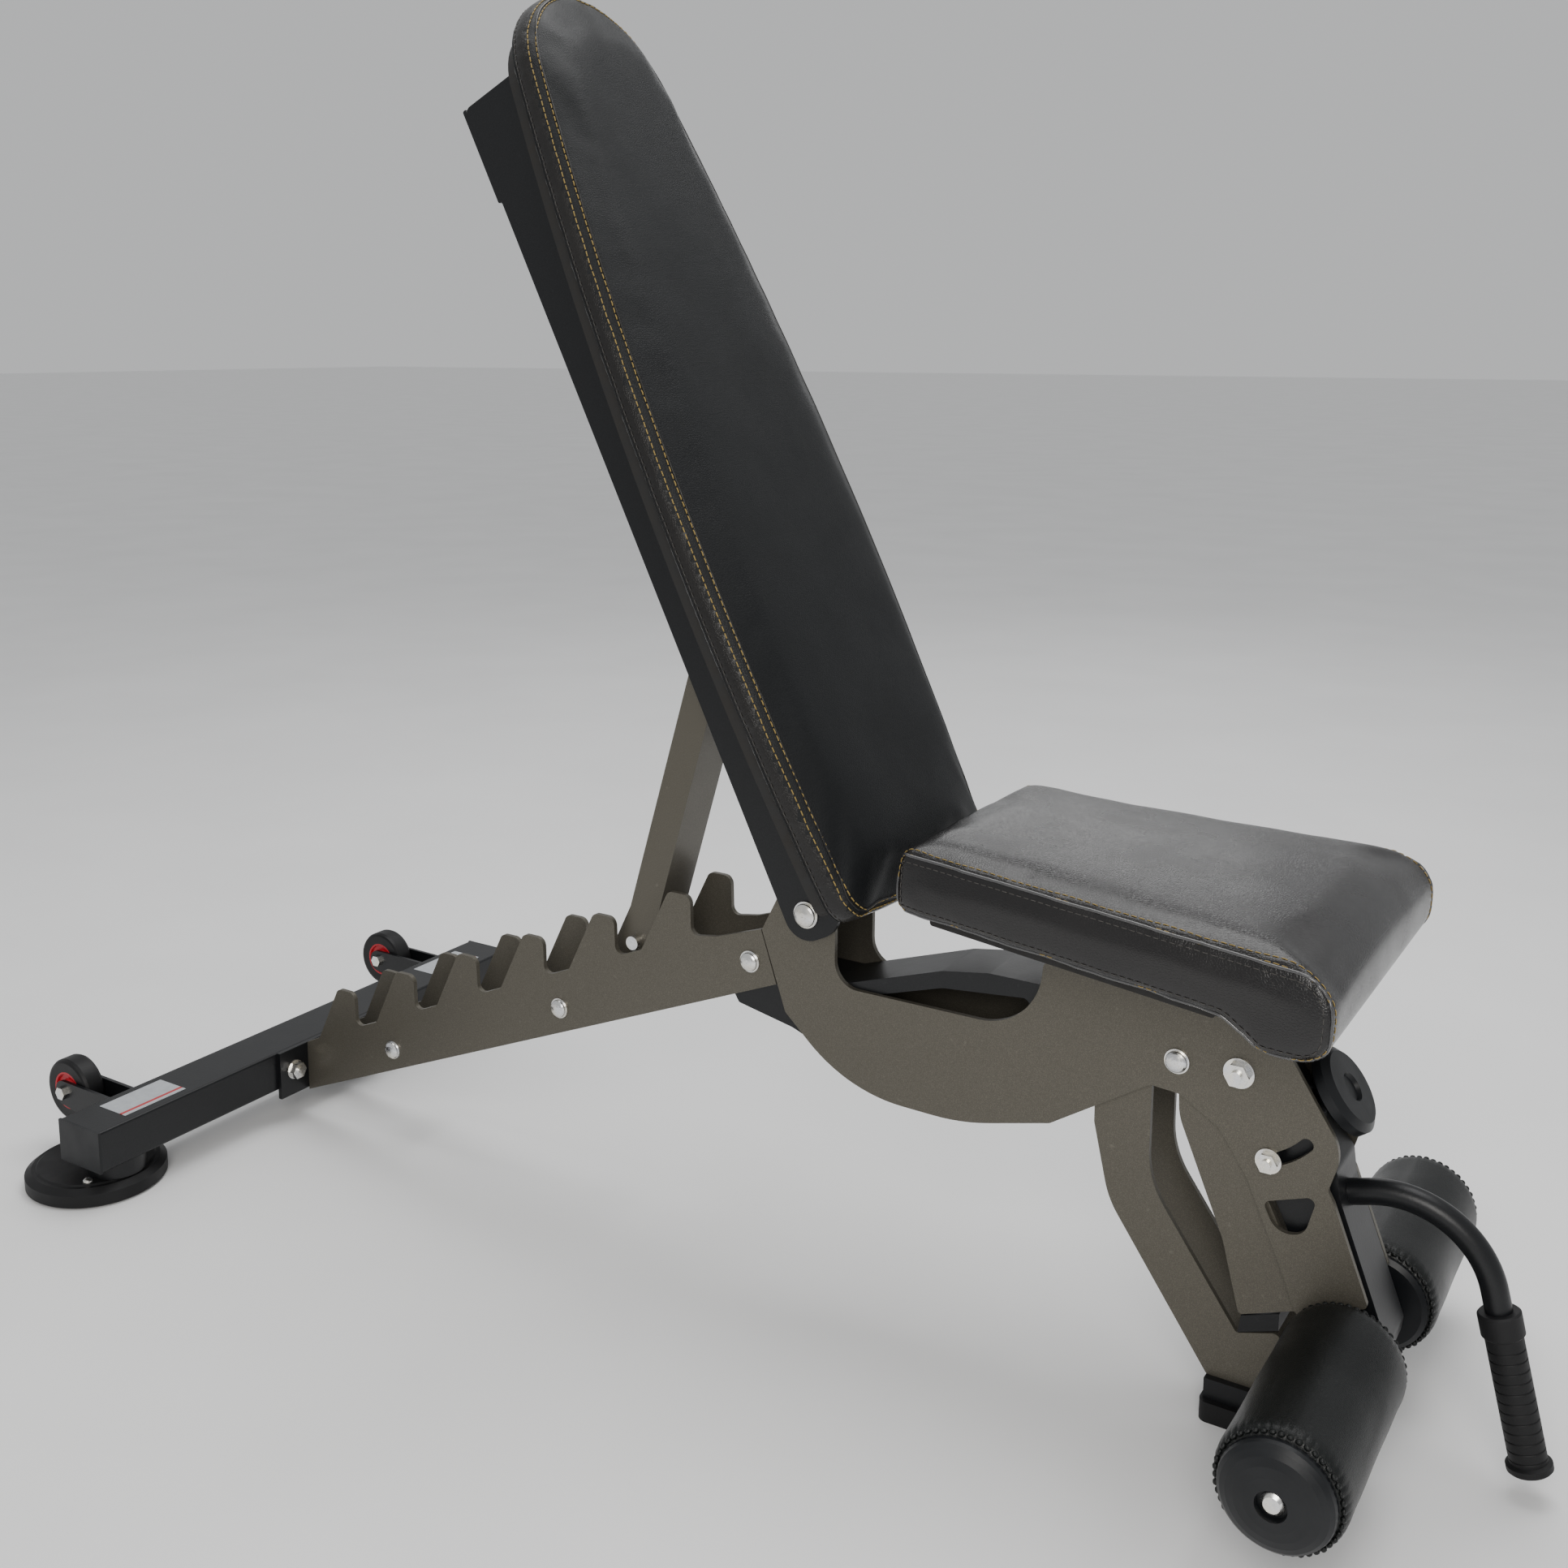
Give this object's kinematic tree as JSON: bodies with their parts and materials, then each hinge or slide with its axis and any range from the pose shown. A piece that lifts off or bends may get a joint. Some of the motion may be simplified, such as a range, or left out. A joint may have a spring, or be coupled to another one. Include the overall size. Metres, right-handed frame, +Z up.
{
  "type": "adjustable weight bench",
  "caption": "Adjustable weight bench with a laddered rear leg, tilting back pad on a notched strut, padded seat and a swinging leg hold with foam rollers and pull handle.",
  "frame": {"origin": "on the floor under the middle of the whole bench", "axes": "+X from the rear beam towards the leg rollers, +Y to the left, +Z up"},
  "size_m": [1.5066, 0.694, 1.2126],
  "materials": {
    "frame_coat": "fine metallic powder coat, satin",
    "black_coat": "satin powder coat",
    "zinc": "bright zinc plate",
    "rubber_black": "moulded, matt",
    "plastic_black": "moulded, satin",
    "tyre_black": "moulded, matt",
    "hub_red": "moulded",
    "label": "plain blank sticker with a stripe",
    "back_vinyl": "matt coated fabric with gold double stitching",
    "seat_vinyl": "glossy coated fabric",
    "roller_vinyl": "satin coated fabric over foam",
    "board": "stained plywood"
  },
  "bodies": {
    "frame": {"rear_beam": "black_coat", "beam_end_caps": "plastic_black", "foot_posts": "black_coat", "disc_feet": "rubber_black", "foot_bolts": "zinc", "wheel_brackets": "black_coat", "wheel_axles": "zinc", "beam_labels": "label", "ladder_flange": "black_coat", "flange_bolts": "zinc", "ladder_plate_left": "frame_coat", "ladder_plate_right": "frame_coat", "ladder_bolts": "zinc", "ladder_spacers": "black_coat", "spine_box": "black_coat", "main_plate_left": "frame_coat", "main_plate_right": "frame_coat", "frame_bolt": "zinc", "hinge_bolt": "zinc", "hinge_spacer": "black_coat", "leg_plate_left": "frame_coat", "leg_plate_right": "frame_coat", "leg_crossbar": "black_coat", "front_foot_bar": "black_coat", "front_foot_pads": "rubber_black", "seat_bracket": "black_coat", "seat_board": "board", "seat_pad": "seat_vinyl", "seat_screws": "zinc", "holder_pivot_bolt": "zinc", "holder_spacers": "zinc"},
    "backrest": {"back_rail_left": "black_coat", "back_rail_right": "black_coat", "back_cross_straps": "black_coat", "back_tie_plate": "black_coat", "head_plate": "black_coat", "back_board": "board", "back_pad": "back_vinyl", "back_screws": "zinc", "strut_pivot_bolt": "zinc"},
    "strut": {"strut": "frame_coat", "strut_pin": "zinc"},
    "leg_hold": {"guide_bolt": "zinc", "front_post": "black_coat", "plunger_housing": "black_coat", "roller_axle": "zinc", "roller_screws": "zinc", "pull_handle": "black_coat", "handle_grip": "rubber_black"},
    "knob": {"knob_plunger": "zinc", "adjuster_knob": "plastic_black"},
    "roller_left": {"roller_foam_left": "roller_vinyl", "roller_caps_left": "plastic_black"},
    "roller_right": {"roller_foam_right": "roller_vinyl", "roller_caps_right": "plastic_black"},
    "wheel_left": {"wheel_hub_left": "hub_red", "wheel_tyre_left": "tyre_black"},
    "wheel_right": {"wheel_hub_right": "hub_red", "wheel_tyre_right": "tyre_black"}
  },
  "joints": [
    {"name": "backrest_tilt", "type": "hinge", "parent": "frame", "child": "backrest", "pos_m": [0.10552, 0, 0.368], "axis": [0, 1, 0], "range_deg": [-64, 5]},
    {"name": "strut_swing", "type": "hinge", "parent": "backrest", "child": "strut", "pos_m": [0.00093, 0, 0.64632], "axis": [0, 1, 0], "range_deg": [-8, 95]},
    {"name": "leg_hold_swing", "type": "hinge", "parent": "frame", "child": "leg_hold", "pos_m": [0.50652, 0, 0.309], "axis": [0, -1, 0], "range_deg": [0, 28]},
    {"name": "knob_pull", "type": "slide", "parent": "leg_hold", "child": "knob", "axis": [0.8095, 0, 0.5871], "range_m": [0, 0.008], "stiffness_N_per_m": 900, "springref_m": -0.004},
    {"name": "roller_left_spin", "type": "hinge", "parent": "leg_hold", "child": "roller_left", "pos_m": [0.60452, 0, 0.099], "axis": [0, 1, 0], "continuous": true},
    {"name": "roller_right_spin", "type": "hinge", "parent": "leg_hold", "child": "roller_right", "pos_m": [0.60452, 0, 0.099], "axis": [0, 1, 0], "continuous": true},
    {"name": "wheel_left_spin", "type": "hinge", "parent": "frame", "child": "wheel_left", "pos_m": [-0.71848, 0.24, 0.071], "axis": [0, 1, 0], "continuous": true},
    {"name": "wheel_right_spin", "type": "hinge", "parent": "frame", "child": "wheel_right", "pos_m": [-0.71848, -0.24, 0.071], "axis": [0, 1, 0], "continuous": true}
  ],
  "couplings": [
    {"joint": "strut_swing", "follows": "backrest_tilt", "ratio": -1.48}
  ]
}
